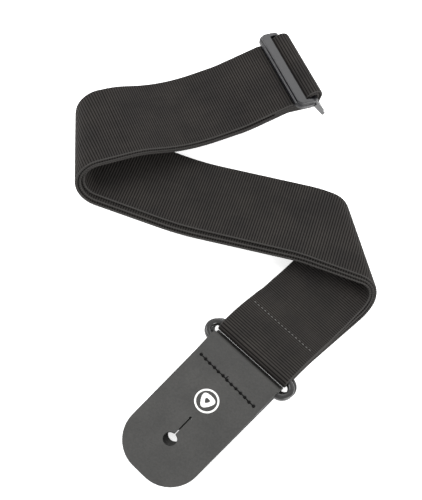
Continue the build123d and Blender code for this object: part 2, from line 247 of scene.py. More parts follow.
class Roll:
    """Webbing that turns over at a fold, rolled off its flat shape without stretch."""

    def __init__(self, fold, layer, upward, arriving, leaving, face_up):
        self.radius = fold.radius[layer]
        self.height = fold.height
        self.upward = upward
        self.face_up = face_up
        self.way = arriving / np.linalg.norm(arriving)
        gone = leaving / np.linalg.norm(leaving)
        axis = self.way + gone
        axis /= np.linalg.norm(axis)
        self.out = self.way - axis * (self.way @ axis)
        self.out /= np.linalg.norm(self.out)
        self.axis = axis
        self.entry = fold.point(fold.low[layer] if upward else fold.high[layer])
        self.cos = float(self.way @ self.out)
        self.lead = (WEB_WIDTH / 2 * abs(float(self.way @ axis)) + 1.0) / self.cos
        self.length = math.pi * self.radius / self.cos + 2 * self.lead

    def surface(self, s, w):
        side = self.face_up * np.array([self.way[1], -self.way[0]])
        plan = self.way[None, None, :] * (s - self.lead)[:, None, None] + side * w[None, :, None]
        out_by = plan @ self.out
        along_by = plan @ self.axis
        turned = np.clip(out_by / self.radius, 0, math.pi)
        beyond = np.maximum(out_by - math.pi * self.radius, 0)
        flat = np.where(out_by < 0, out_by, self.radius * np.sin(turned)) - beyond
        points = np.zeros(plan.shape[:2] + (3,))
        points[:, :, :2] = (self.entry + self.axis * along_by[:, :, None]
                            + self.out * flat[:, :, None])
        up = -1 if self.upward else 1
        points[:, :, 2] = self.height + up * self.radius * np.cos(turned)
        radial = np.zeros_like(points)
        radial[:, :, :2] = self.out * np.sin(turned)[:, :, None]
        radial[:, :, 2] = up * np.cos(turned)
        return points, radial * (up * self.face_up)


# ---------------------------------------------------------------- side views of the runs
ENTRY, ENTRY_SLOPE, ENTRY_FLAT, UNDER_BAR = -22.0, 22.7, -15.6, -3.2
END_LOOP, PASS_LOOP = 3.3, 5.4
SLOPE_START, SLOPE_END = 13.0, 52.0
TAIL_END, TAIL_BEND, FRONT_SEAM = 27.5, 19.0, 23.5
front_top = FRONT_BAR + WEB_LOOP
front_fall = (front_top - right.below("front")) / (SLOPE_END - SLOPE_START)


def slider_point(x, y):
    """A point of the slider's own side view, as distance back from its bar and height."""
    pitch = math.radians(SLIDER_PITCH)
    return (-(x * math.cos(pitch) - y * math.sin(pitch)),
            SLIDER_HEIGHT + x * math.sin(pitch) + y * math.cos(pitch))


def approach(layer, layers_down, dip, rise):
    """Corners of an upper run from the slider back to the left fold, and their radii."""
    reach = float(np.linalg.norm(slider_bar_plan - left.point(left.high[layer])))
    near = slider_point(ENTRY, UNDER_BAR - layers_down * LAYER_STEP
                        - (ENTRY_FLAT - ENTRY) * math.tan(math.radians(ENTRY_SLOPE)))
    rise_x = reach - rise
    rise_y = near[1] - (rise_x - near[0]) * math.tan(math.radians(ENTRY_SLOPE + SLIDER_PITCH))
    high = left.above(layer)
    return [(rise_x, rise_y), (reach - 52, dip), (reach - 19, high)], [50, 90, 50], reach, high


def lead_of(fold, layer):
    """How far from a fold's axis the webbing must already lie flat."""
    if fold is right:
        arriving = fold.point(fold.low[layer]) - LOWER_START[layer]
        leaving = left.point(left.low[layer]) - right.point(right.high[layer])
    else:
        arriving = left.point(left.low[layer]) - right.point(right.high[layer])
        leaving = slider_bar_plan - fold.point(fold.high[layer])
    return Roll(fold, layer, True, arriving, leaving, 1).lead


def front_lower_leg():
    under = LAYER_STEP + 0.02
    plan = PlanLine(front_bar_plan, right.point(right.low["front"]), LOWER_DIR)
    bottom = FRONT_BAR - WEB_LOOP
    fall = [front_top - front_fall * (x - SLOPE_START) - under for x in (TAIL_END, TAIL_BEND)]
    sag = [(x, front_top - front_fall * (x - SLOPE_START) + lift)
           for x, lift in ((32, -0.3), (37.5, -1.7), (46, 0.2))]
    corners = [(TAIL_END, fall[0]), (TAIL_BEND, fall[1]), (3, bottom), (-WEB_LOOP, bottom),
               (-WEB_LOOP, front_top), (SLOPE_START, front_top), *sag,
               (SLOPE_END + 3, right.below("front")),
               (plan.reach - lead_of(right, "front"), right.below("front"))]
    radii = [14, 12, WEB_LOOP - 0.01, WEB_LOOP - 0.01, 35, 12, 12, 25, 40]
    return Leg(SidePath(corners, radii), plan, plan, -1)


def middle_leg(layer, reverse, face_up):
    start, end = right.point(right.high[layer]), left.point(left.low[layer])
    reach = float(np.linalg.norm(end - start))
    high, low = right.above(layer), left.below(layer)
    corners = [(lead_of(right, layer), high), (23, high), (96, low),
               (reach - lead_of(left, layer), low)]
    radii = [60, 120]
    if reverse:
        corners = [(reach - x, y) for x, y in corners[::-1]]
        start, end, radii = end, start, radii[::-1]
    return Leg(SidePath(corners, radii), PlanLine(start, end), None, face_up)


def slider_leg():
    """Front run up to the slider, over its middle bar and back below as the return run."""
    up, up_radii, up_reach, up_high = approach("front", 0, 16.8, 88)
    down, down_radii, down_reach, down_high = approach("return", 3, 12.6, 90.5)
    low = UNDER_BAR - 3 * LAYER_STEP
    over = [slider_point(*p) for p in (
        (ENTRY_FLAT, UNDER_BAR), (-PASS_LOOP, UNDER_BAR), (-PASS_LOOP, PASS_LOOP),
        (PASS_LOOP, PASS_LOOP), (PASS_LOOP, low), (ENTRY_FLAT, low))]
    over_radii = [8, 2.2, PASS_LOOP - 0.02, PASS_LOOP - 0.02, 4.5, 8]
    corners = ([(up_reach - lead_of(left, "front"), up_high)] + up[::-1] + over + down
               + [(down_reach - lead_of(left, "return"), down_high)])
    radii = up_radii[::-1] + over_radii + down_radii
    lines = [PlanLine(slider_bar_plan, left.point(left.high[layer]), UPPER_DIR + 180)
             for layer in ("front", "return")]
    return Leg(SidePath(corners, radii), *lines, 1)


def rear_ring_leg():
    """Return run to the rear ring and away from it as the adjusting run."""
    bottom, top = REAR_BAR - WEB_LOOP, REAR_BAR + WEB_LOOP
    lines = [PlanLine(rear_bar_plan, right.point(right.low[layer]), LOWER_DIR)
             for layer in ("return", "adjusting")]
    corners = [(lines[0].reach - lead_of(right, "return"), right.below("return")),
               (14, bottom - 0.1), (-WEB_LOOP, bottom), (-WEB_LOOP, top), (12, top),
               (38, right.below("adjusting")),
               (lines[1].reach - lead_of(right, "adjusting"), right.below("adjusting"))]
    radii = [60, WEB_LOOP - 0.02, WEB_LOOP - 0.02, 25, 25]
    return Leg(SidePath(corners, radii), *lines, -1)


def end_leg():
    """Adjusting run to the slider, where its end is sewn round the middle bar."""
    up, up_radii, reach, high = approach("adjusting", 2, 14.7, 90)
    tail, low = UNDER_BAR - LAYER_STEP, UNDER_BAR - 2 * LAYER_STEP
    tail_end = ENTRY - 4
    round_bar = [slider_point(*p) for p in (
        (ENTRY_FLAT, low), (END_LOOP, low), (END_LOOP, END_LOOP), (-END_LOOP, END_LOOP),
        (-END_LOOP, tail), (ENTRY_FLAT, tail),
        (tail_end, tail - (ENTRY_FLAT - tail_end) * math.tan(math.radians(ENTRY_SLOPE))))]
    radii = up_radii[::-1] + [8, END_LOOP - 0.02, END_LOOP - 0.02, END_LOOP - 0.02, 1.6, 8]
    corners = [(reach - lead_of(left, "adjusting"), high)] + up[::-1] + round_bar
    line = PlanLine(slider_bar_plan, left.point(left.high["adjusting"]), UPPER_DIR + 180)
    return Leg(SidePath(corners, radii), line, line, 1)


def roll(fold, layer, upward, face_up):
    lower = right.point(right.low[layer]) - LOWER_START[layer]
    middle = left.point(left.low[layer]) - right.point(right.high[layer])
    upper = slider_bar_plan - left.point(left.high[layer])
    first, second = (lower, middle) if fold is right else (middle, upper)
    if not upward:
        first, second = -second, -first
    return Roll(fold, layer, upward, first, second, face_up)


# The one band, end to end. face_up is the side of the band that looks up as a piece starts.
band = []
leg_front = front_lower_leg()
band += [leg_front, roll(right, "front", True, 1)]
band += [middle_leg("front", False, -1), roll(left, "front", True, -1)]
leg_slider = slider_leg()
band += [leg_slider, roll(left, "return", False, -1)]
band += [middle_leg("return", True, 1), roll(right, "return", False, 1)]
leg_rear = rear_ring_leg()
band += [leg_rear, roll(right, "adjusting", True, 1)]
band += [middle_leg("adjusting", False, -1), roll(left, "adjusting", True, -1)]
leg_end = end_leg()
band += [leg_end]


# ---------------------------------------------------------------- mesh helpers
def mesh_object(name, vertices, faces, smooth=True):
    mesh = bpy.data.meshes.new(name)
    mesh.from_pydata([tuple(map(float, v)) for v in vertices], [],
                     [tuple(map(int, f)) for f in faces])
    if smooth:
        mesh.shade_smooth()
    obj = bpy.data.objects.new(name, mesh)
    bpy.context.scene.collection.objects.link(obj)
    return obj


def grid_faces(rows, columns, first=0):
    """Quads of a closed tube of rings: each row is a ring of points."""
    row, column = np.meshgrid(np.arange(rows - 1), np.arange(columns), indexing="ij")
    after = (column + 1) % columns
    low, high = first + row * columns, first + (row + 1) * columns
    return np.stack([low + column, low + after, high + after, high + column], -1).reshape(-1, 4)


def tubes(name, paths, radii, sides=8):
    """Closed round threads along each path of row-frame points, tapered at both ends."""
    vertices, faces = [], []
    for path, radius in zip(paths, radii):
        path = [Vector(p) for p in path]
        start = len(vertices)
        for i, point in enumerate(path):
            way = (path[min(i + 1, len(path) - 1)] - path[max(i - 1, 0)]).normalized()
            across = way.cross(Vector((0, 0, 1)))
            across = across.normalized() if across.length > 0.01 else Vector((1, 0, 0))
            up = across.cross(way)
            size = radius * (0.45 if i in (0, len(path) - 1) else 1.0)
            for k in range(sides):
                turn = 2 * math.pi * k / sides
                vertices.append(point + across * (size * math.cos(turn))
                                + up * (size * math.sin(turn)))
        faces += [tuple(f) for f in grid_faces(len(path), sides, start)]
        faces.append(tuple(range(start, start + sides))[::-1])
        last = start + (len(path) - 1) * sides
        faces.append(tuple(range(last, last + sides)))
    return mesh_object(name, vertices, faces)


# ---------------------------------------------------------------- webbing
RIB = 1.59  # from one rib to the next
RIB_HEIGHT = 0.30
CORE = WEB_THICK / 2 - RIB_HEIGHT
FRACTIONS = np.array([0.0, 0.13, 0.37, 0.63, 0.87])  # where a rib's rows of points lie
SEAM_STITCHES, WEB_SEAM_LENGTH, WEB_THREAD_RADIUS = 17, 44.0, 0.24 * MM


def rib_profile(s):
    phase = np.abs(2 * ((s / RIB) % 1.0) - 1)
    return 1 - phase ** 2.6


def band_surface(s, w):
    points = np.zeros((len(s), len(w), 3))
    normals = np.zeros_like(points)
    start = 0.0
    for piece in band:
        here = (s >= start) & (s < start + piece.length) if piece is not band[-1] else s >= start
        if here.any():
            points[here], normals[here] = piece.surface(s[here] - start, w)
        start += piece.length
    return points, normals


band_length = sum(piece.length for piece in band)


def build_webbing():
    ribs = int(band_length / RIB)
    s = (np.arange(ribs)[:, None] + FRACTIONS[None, :]).reshape(-1) * RIB
    s = s[s < band_length - 0.2]
    half = WEB_WIDTH / 2
    inner = np.concatenate([[-half + 0.55, -half + 1.3], np.linspace(-half + 3, half - 3, 21),
                            [half - 1.3, half - 0.55]])
    edge_out = [(half - 0.16, 0.62), (half, 0.0), (half - 0.16, -0.62)]
    columns = [(w, 1.0) for w in inner] + edge_out
    columns += [(w, -1.0) for w in inner[::-1]] + [(-w, -n) for w, n in edge_out]
    w = np.array([c[0] for c in columns])
    lift = np.array([c[1] for c in columns])
    points, normals = band_surface(s, w)
    rib = rib_profile(s)[:, None]
    fade = np.clip((half - np.abs(w)) / 1.2, 0.55, 1.0)[None, :]
    thick = lift[None, :] * (CORE + RIB_HEIGHT * rib * fade)
    points = points + normals * thick[:, :, None]
    rows, count = points.shape[:2]
    vertices = to_row(points.reshape(-1, 3))
    faces = grid_faces(rows, count)
    caps = [tuple(range(count))[::-1], tuple(range((rows - 1) * count, rows * count))]
    mesh = bpy.data.meshes.new("webbing")
    mesh.from_pydata(vertices.tolist(), [], faces.tolist() + caps)
    mesh.shade_smooth()
    obj = bpy.data.objects.new("webbing", mesh)
    bpy.context.scene.collection.objects.link(obj)
    layer = mesh.uv_layers.new(name="strap")
    loops = np.zeros(len(mesh.loops), int)
    mesh.loops.foreach_get("vertex_index", loops)
    flat = np.stack([np.repeat(s, count), np.tile(w, rows)], 1) / 1000
    layer.data.foreach_set("uv", flat[loops].reshape(-1).astype(np.float32))
    return obj


webbing = build_webbing()
web_nodes = [node for node in frame["nodes"]
             if node.startswith("webbing_") and "stitching" not in node]
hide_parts(*web_nodes)
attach(webbing, "strap")


def band_stitches(name, s, count, length, lift):
    """A row of short threads lying across the webbing at arc length s."""
    rng = random.Random(name)
    paths = []
    spacing = length / count
    for i in range(count):
        middle = (i - (count - 1) / 2) * spacing + rng.uniform(-0.12, 0.12)
        along = s + rng.uniform(-0.1, 0.1)
        reach = spacing * 0.30
        w = np.array([middle - reach, middle - reach * 0.5, middle, middle + reach * 0.5,
                      middle + reach])
        points, normals = band_surface(np.array([along]), w)
        heights = np.array([-0.25, 0.12, 0.2, 0.12, -0.25]) + CORE + RIB_HEIGHT * 0.9
        paths.append(to_row(points[0] + normals[0] * (lift * heights)[:, None]))
    return tubes(name, paths, [WEB_THREAD_RADIUS] * len(paths))


front_seam_at = (math.floor(leg_front.where(FRONT_SEAM, True) / RIB) + 0.5) * RIB
front_seam = band_stitches("webbing_seam_front", front_seam_at, SEAM_STITCHES, WEB_SEAM_LENGTH, 1)
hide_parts("webbing_stitching_front")
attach(front_seam, "strap")
tail_seam_at = band_length - 4.5
tail_seam = band_stitches("webbing_seam_slider", tail_seam_at, SEAM_STITCHES, WEB_SEAM_LENGTH, -1)
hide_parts("webbing_stitching_slider")
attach(tail_seam, "strap")


# ---------------------------------------------------------------- moulded and leather pieces
VOXEL, SMOOTHING_ROUNDS = 0.25 * MM, 3


def softened(node, name):
    """A copy of a CAD node, remeshed fine and evenly and smoothed, so its edges are rounded."""
    source = frame["nodes"][node]
    copy = bpy.data.objects.new(name, source.data.copy())
    bpy.context.scene.collection.objects.link(copy)
    copy.matrix_world = source.matrix_world.copy()
    remesh = copy.modifiers.new("remesh", "REMESH")
    remesh.mode = "VOXEL"
    remesh.voxel_size = VOXEL
    smooth = copy.modifiers.new("smooth", "SMOOTH")
    smooth.factor, smooth.iterations = 0.5, SMOOTHING_ROUNDS
    bpy.context.view_layer.update()
    ready = bpy.data.meshes.new_from_object(copy.evaluated_get(
        bpy.context.evaluated_depsgraph_get()))
    ready.transform(copy.matrix_world)
    bpy.data.objects.remove(copy)
    ready.shade_smooth()
    obj = bpy.data.objects.new(name, ready)
    bpy.context.scene.collection.objects.link(obj)
    return obj


def vertices_of(obj):
    values = np.zeros(len(obj.data.vertices) * 3)
    obj.data.vertices.foreach_get("co", values)
    return values.reshape(-1, 3)


def set_vertices(obj, values):
    obj.data.vertices.foreach_set("co", values.reshape(-1))
    obj.data.update()


class TabView:
    """A tab's own axes: x from its ring's bar towards the tip, y off its face, z across."""

    def __init__(self, joint, pitch):
        self.origin = np.array(joints[joint]["pos_m"])
        flat = np.array([*heading(LOWER_DIR + 180), 0])
        up = np.array([0, 0, 1])
        tip = math.radians(pitch)
        self.x = flat * math.cos(tip) - up * math.sin(tip)
        self.y = flat * math.sin(tip) + up * math.cos(tip)
        self.z = np.cross(self.x, self.y)

    def local(self, points):
        rel = (points - self.origin) / MM
        return rel @ self.x, rel @ self.y, rel @ self.z

    def point(self, x, y, z):
        return self.origin + (self.x * x + self.y * y + self.z * z) * MM


SEAM_X = 12.9
SEAM_SLANT = 0.04
SEAM_LENGTH = 40.2
HOLES = 13
# the bead in each stitch hole is wider than the thread: black thread, and a dark stand-in for the
# shade in the hole's pit
TAB_THREAD_RADIUS, TAB_HOLE_RADIUS = 0.3 * MM, 0.85 * MM


def seam_holes(seed):
    rng = random.Random(seed)
    holes = []
    for i in range(HOLES):
        z = (i / (HOLES - 1) - 0.5) * SEAM_LENGTH + rng.uniform(-0.25, 0.25)
        holes.append((SEAM_X - SEAM_SLANT * z + rng.uniform(-0.2, 0.2), z))
    return holes


def tab_relief(x, y, z, holes, middle, faces_up):
    """How far the leather's surface moves off its flat shape, in the tab's own axes."""
    shift = np.zeros_like(x)
    for hole_x, hole_z in holes:
        away = np.hypot(x - hole_x, z - hole_z)
        near = np.exp(-(away / 1.0) ** 4) * 0.6 + np.exp(-(away / 1.9) ** 2) * 0.12
        shift += np.where(y > middle, -near, near)
    beside_seam = np.abs(z) < SEAM_LENGTH / 2 + 0.6
    groove = np.exp(-((x - SEAM_X + SEAM_SLANT * z) / 0.9) ** 2) * 0.12 * beside_seam
    shift += np.where(y > middle, -groove, groove)
    # the face is a little proud over the folded-back ply, and creased where that ply ends
    on_face = (y > 0.4) if faces_up else (y < -0.4)
    crease = np.exp(-((x - 17.2 - 0.25 * np.sin(z / 9)) / 0.45) ** 2) * 0.13
    step = 0.10 / (1 + np.exp((x - 17.4) / 0.7))
    side = 1 if faces_up else -1
    shift += np.where(on_face & (x > 9), side * (step - crease), 0)
    swell = (0.10 * np.sin(x / 11.0 + 0.4) * np.sin(z / 13.0 + 1.0)
             + 0.05 * np.sin(x / 4.7 + z / 6.1))
    return shift + swell * np.clip((x - 4) / 10, 0, 1)


def mark_cut_edges(tab, view, x):
    """Stores how much each point lies on a cut edge, for the leather's painted edges."""
    normals = np.zeros(len(x) * 3)
    tab.data.vertices.foreach_get("normal", normals)
    sideways = 1 - np.abs(normals.reshape(-1, 3) @ view.y)
    cut_edge = np.clip((sideways - 0.35) / 0.4, 0, 1) * (x > 5)
    tab.data.attributes.new("cut_edge", "FLOAT", "POINT").data.foreach_set(
        "value", cut_edge.astype(np.float32))


def tab_threads(view, holes, faces):
    """Stitches from hole to hole on both faces, each a little below the leather at its ends."""
    threads = []
    for level, outward in faces:
        for (x0, z0), (x1, z1) in zip(holes[:-1], holes[1:]):
            t = np.array([0.0, 0.16, 0.38, 0.62, 0.84, 1.0])
            rise = np.array([-0.5, -0.18, -0.02, -0.02, -0.18, -0.5]) * outward
            threads.append([view.point(x0 + (x1 - x0) * k, level + r, z0 + (z1 - z0) * k)
                            for k, r in zip(t, rise)])
    return threads


def tab_knots(view, holes, faces):
    """The thread that fills each hole, drawn as a black bead as wide as the hole's dimple, so that
    it is black thread and also a dark stand-in for the shade in the pit. The middle holes were sewn
    twice.
    """
    knots = []
    for level, outward in faces:
        for number, (x0, z0) in enumerate(holes):
            doubled = ((0.0, 0.0), (0.75, -0.85)) if 5 <= number <= 7 else ((0.0, 0.0),)
            for dx, dz in doubled:
                knots.append([view.point(x0 + dx, level - outward * depth, z0 + dz)
                              for depth in (0.95, 0.75, 0.3, 0.1)])
    return knots


def build_tab(which, pitch, face, tail_y, faces_up):
    """face and tail_y are the heights of the two plies' outer faces at the seam."""
    view = TabView(f"tab_{which}_swing", pitch)
    holes = seam_holes(which)
    tab = softened(f"leather_tab_{which}", f"leather_{which}")
    points = vertices_of(tab)
    x, y, z = view.local(points)
    shift = tab_relief(x, y, z, holes, (face + tail_y) / 2, faces_up)
    set_vertices(tab, points + view.y * (shift * MM)[:, None])
    mark_cut_edges(tab, view, x)
    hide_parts(f"leather_tab_{which}")
    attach(tab, f"tab_{which}")
    both_faces = ((face, 1), (tail_y, -1))
    threads = tab_threads(view, holes, both_faces)
    knots = tab_knots(view, holes, both_faces)
    if which == "front":  # the cut end of the thread stands off the face
        threads.append([view.point(SEAM_X - dx, face + r, 1.4 - dx * 0.25)
                        for dx, r in ((0.0, -0.1), (0.8, 0.08), (1.7, 0.1), (2.3, -0.2))])
    radii = [TAB_THREAD_RADIUS] * len(threads) + [TAB_HOLE_RADIUS] * len(knots)
    seam = tubes(f"tab_seam_{which}", [*threads, *knots], radii, 10)
    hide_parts(f"tab_stitching_{which}")
    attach(seam, f"tab_{which}")
    return view, tab, seam


FRONT_FACE = 2.6
front_view, leather_front, seam_front = build_tab("front", FRONT_PITCH, FRONT_FACE, -1.5, True)
_, leather_rear, seam_rear = build_tab("rear", 0.0, -0.1, -4.2, False)


def flat_mark(name, view, x, outline_loops, y):
    """Printed shapes: each is an outer and an inner outline with ink between them."""
    vertices, faces = [], []
    for outer, inner in outline_loops:
        n = len(outer)
        start = len(vertices)
        for height in (y, y + 0.05):
            for line in (outer, inner):
                vertices += [view.point(x + p[0], height, p[1]) for p in line]
        for i in range(n):
            j = (i + 1) % n
            a, b, c, d = start, start + n, start + 2 * n, start + 3 * n
            faces += [(c + i, c + j, d + j, d + i), (a + j, a + i, b + i, b + j),
                      (a + i, a + j, c + j, c + i), (b + j, b + i, d + i, d + j)]
    return mesh_object(name, vertices, faces, smooth=False)


def circle(radius, count=96):
    return [(radius * math.cos(2 * math.pi * k / count), radius * math.sin(2 * math.pi * k / count))
            for k in range(count)]


def pick(size, count=96):
    """A rounded triangle, point towards the tip, like a plain plectrum."""
    line = []
    for k in range(count):
        turn = 2 * math.pi * k / count
        radius = size * (1 + 0.13 * math.cos(3 * turn) + 0.02 * math.cos(6 * turn))
        line.append((radius * math.cos(turn) - 0.3, radius * math.sin(turn)))
    return line


MARK_X = TAB_REACH - 52.0
mark = flat_mark("tab_mark", front_view, MARK_X,
                 [(circle(6.8), circle(5.8)), (pick(3.9), pick(1.4))], FRONT_FACE + 0.06)
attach(mark, "tab_front")


RING_BAR_HALF_HEIGHT = 1.82
SQUARENESS = 0.72  # 1 is a round bar, less is squarer


def build_ring(which):
    """A moulded oval ring of squarish bar with rounded corners."""
    inner_half = RING_LENGTH / 2 - BAR_SPACING / 2 - RING_BAR_RADIUS
    view = TabView(f"ring_{which}_swing", 0.0)
    centre = view.origin + view.x * (BAR_SPACING / 2) * MM
    line = []
    for side in (1, -1):
        for k in range(33):
            turn = math.radians(-90 + 180 * k / 32)
            line.append((side * math.sin(turn) * BAR_SPACING / 2,
                         side * (inner_half + math.cos(turn) * BAR_SPACING / 2)))
        straight = np.linspace(side * inner_half, -side * inner_half, 26)[1:-1]
        line += [(side * BAR_SPACING / 2, z) for z in straight]
    line = np.array(line)
    before, after = np.roll(line, 1, 0), np.roll(line, -1, 0)
    way = after - before
    way /= np.linalg.norm(way, axis=1)[:, None]
    outward = np.stack([way[:, 1], -way[:, 0]], 1)
    section = []
    for k in range(28):
        turn = 2 * math.pi * k / 28
        c, s = math.cos(turn), math.sin(turn)
        section.append((RING_BAR_RADIUS * math.copysign(abs(c) ** SQUARENESS, c),
                        RING_BAR_HALF_HEIGHT * math.copysign(abs(s) ** SQUARENESS, s)))
    vertices = []
    for (x, z), (ox, oz) in zip(line, outward):
        for across, up in section:
            vertices.append(centre + (view.x * (x + ox * across) + view.y * up
                                      + view.z * (z + oz * across)) * MM)
    count = len(section)
    faces = list(grid_faces(len(line), count))
    last = (len(line) - 1) * count
    faces += [(last + i, last + (i + 1) % count, (i + 1) % count, i) for i in range(count)]
    ring = mesh_object(f"ring_{which}_moulded", vertices, faces)
    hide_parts(f"ring_{which}")
    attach(ring, f"ring_{which}")
    return ring


rings = [build_ring("front"), build_ring("rear")]

slider = softened("slider_frame", "slider_moulded")
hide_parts("slider_frame")
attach(slider, "slider")


# ---------------------------------------------------------------- materials
def material(name, color, roughness, specular=0.5):
    made = bpy.data.materials.new(name)
    made.use_nodes = True
    shader = made.node_tree.nodes["Principled BSDF"]
    shader.inputs["Base Color"].default_value = (*color, 1)
    shader.inputs["Roughness"].default_value = roughness
    shader.inputs["Specular IOR Level"].default_value = specular
    return made, made.node_tree, shader


def add(tree, kind, **inputs):
    node = tree.nodes.new(kind)
    for key, value in inputs.items():
        if key in node.inputs:
            node.inputs[key].default_value = value
        else:
            setattr(node, key, value)
    return node


def ramp(tree, source, stops):
    node = tree.nodes.new("ShaderNodeValToRGB")
    elements = node.color_ramp.elements
    while len(elements) < len(stops):
        elements.new(0.5)
    for element, (position, color) in zip(elements, stops):
        element.position = position
        element.color = (*color, 1) if len(color) == 3 else color
    tree.links.new(source, node.inputs["Fac"])
    return node.outputs["Color"]


def bump(tree, shader, layers):
    """layers are (height output, distance in metres, strength), stacked."""
    last = None
    for height, distance, strength in layers:
        node = add(tree, "ShaderNodeBump")
        node.inputs["Distance"].default_value = distance
        node.inputs["Strength"].default_value = strength
        tree.links.new(height, node.inputs["Height"])
        if last:
            tree.links.new(last, node.inputs["Normal"])
        last = node.outputs["Normal"]
    tree.links.new(last, shader.inputs["Normal"])


def noise(tree, vector, scale, detail=3.0, roughness=0.55):
    node = add(tree, "ShaderNodeTexNoise")
    node.inputs["Scale"].default_value = scale
    node.inputs["Detail"].default_value = detail
    node.inputs["Roughness"].default_value = roughness
    tree.links.new(vector, node.inputs["Vector"])
    return node.outputs["Fac"]


YARN_PITCH = 0.00052


def webbing_material():
    made, tree, shader = material("webbing_weave", (0.015, 0.0135, 0.0125), 0.85, 0.13)
    shader.inputs["Sheen Weight"].default_value = 0.03
    shader.inputs["Sheen Roughness"].default_value = 0.4
    shader.inputs["Sheen Tint"].default_value = (0.75, 0.7, 0.66, 1)
    coords = add(tree, "ShaderNodeTexCoord")
    uv = coords.outputs["UV"]
    split = add(tree, "ShaderNodeSeparateXYZ")
    tree.links.new(uv, split.inputs[0])
    # painted shade: the rib valleys are painted darker than their crests
    phase = add(tree, "ShaderNodeMath", operation="MULTIPLY")
    phase.inputs[1].default_value = 2 * math.pi / (RIB * MM)
    tree.links.new(split.outputs["X"], phase.inputs[0])
    wave = add(tree, "ShaderNodeMath", operation="COSINE")
    tree.links.new(phase.outputs[0], wave.inputs[0])
    rib_valley_shade = ramp(tree, wave.outputs[0], [(0.0, (0.029, 0.0268, 0.0252)),
                                         (0.40, (0.018, 0.0163, 0.0153)),
                                         (0.90, (0.0020, 0.0018, 0.0017))])
    # yarns run along the strap and dip under every other rib
    yarn = add(tree, "ShaderNodeMapping")
    yarn.inputs["Scale"].default_value = (1 / (RIB * MM), 1 / YARN_PITCH, 1)
    tree.links.new(uv, yarn.inputs["Vector"])
    checks = add(tree, "ShaderNodeTexWave", wave_type="BANDS", bands_direction="Y",
                 wave_profile="SIN")
    checks.inputs["Scale"].default_value = 0.32
    checks.inputs["Distortion"].default_value = 0.6
    checks.inputs["Detail"].default_value = 1.0
    tree.links.new(yarn.outputs[0], checks.inputs["Vector"])
    streaks = add(tree, "ShaderNodeMapping")
    streaks.inputs["Scale"].default_value = (60, 900, 1)
    tree.links.new(uv, streaks.inputs["Vector"])
    fibre = noise(tree, streaks.outputs[0], 1.0, 4.0)
    cloud = noise(tree, uv, 45.0, 2.0)
    tone = add(tree, "ShaderNodeMix", data_type="RGBA", blend_type="MULTIPLY")
    tone.inputs[0].default_value = 1.0
    tree.links.new(rib_valley_shade, tone.inputs[6])
    tree.links.new(ramp(tree, fibre, [(0.3, (0.9, 0.9, 0.9)), (0.7, (1.1, 1.1, 1.1))]),
                   tone.inputs[7])
    shade = add(tree, "ShaderNodeMix", data_type="RGBA", blend_type="MULTIPLY")
    shade.inputs[0].default_value = 1.0
    tree.links.new(tone.outputs[2], shade.inputs[6])
    tree.links.new(ramp(tree, cloud, [(0.35, (0.86, 0.86, 0.87)), (0.65, (1.15, 1.13, 1.1))]),
                   shade.inputs[7])
    # a few lint specks
    cells = add(tree, "ShaderNodeTexVoronoi", feature="F1")
    cells.inputs["Scale"].default_value = 55.0
    cells.inputs["Randomness"].default_value = 1.0
    tree.links.new(uv, cells.inputs["Vector"])
    speck = add(tree, "ShaderNodeMath", operation="LESS_THAN")
    speck.inputs[1].default_value = 0.014
    tree.links.new(cells.outputs["Distance"], speck.inputs[0])
    chosen = add(tree, "ShaderNodeSeparateColor")
    tree.links.new(cells.outputs["Color"], chosen.inputs[0])
    rare = add(tree, "ShaderNodeMath", operation="GREATER_THAN")
    rare.inputs[1].default_value = 0.72
    tree.links.new(chosen.outputs["Red"], rare.inputs[0])
    both = add(tree, "ShaderNodeMath", operation="MULTIPLY")
    tree.links.new(speck.outputs[0], both.inputs[0])
    tree.links.new(rare.outputs[0], both.inputs[1])
    lint = add(tree, "ShaderNodeMix", data_type="RGBA")
    lint.inputs[7].default_value = (0.16, 0.15, 0.13, 1)
    tree.links.new(both.outputs[0], lint.inputs[0])
    tree.links.new(shade.outputs[2], lint.inputs[6])
    # painted highlight: the selvedges are smoother than the ribs, and a band along each is painted
    # lighter where the edges catch light
    off_centre = add(tree, "ShaderNodeMath", operation="ABSOLUTE")
    tree.links.new(split.outputs["Y"], off_centre.inputs[0])
    near_edge = add(tree, "ShaderNodeMapRange")
    near_edge.inputs["From Min"].default_value = (WEB_WIDTH / 2 - 1) * MM
    near_edge.inputs["From Max"].default_value = WEB_WIDTH / 2 * MM
    tree.links.new(off_centre.outputs[0], near_edge.inputs["Value"])
    edge = ramp(tree, near_edge.outputs[0], [(0.25, (0, 0, 0)), (0.5, (1, 1, 1)), (0.8, (1, 1, 1)),
                                             (0.95, (0.1, 0.1, 0.1))])
    selvedge_highlight = add(tree, "ShaderNodeMix", data_type="RGBA")
    selvedge_highlight.inputs[7].default_value = (0.046, 0.044, 0.042, 1)
    tree.links.new(edge, selvedge_highlight.inputs[0])
    tree.links.new(lint.outputs[2], selvedge_highlight.inputs[6])
    tree.links.new(selvedge_highlight.outputs[2], shader.inputs["Base Color"])
    bump(tree, shader, [(checks.outputs["Fac"], 0.0001, 0.3), (fibre, 0.00005, 0.3)])
    return made


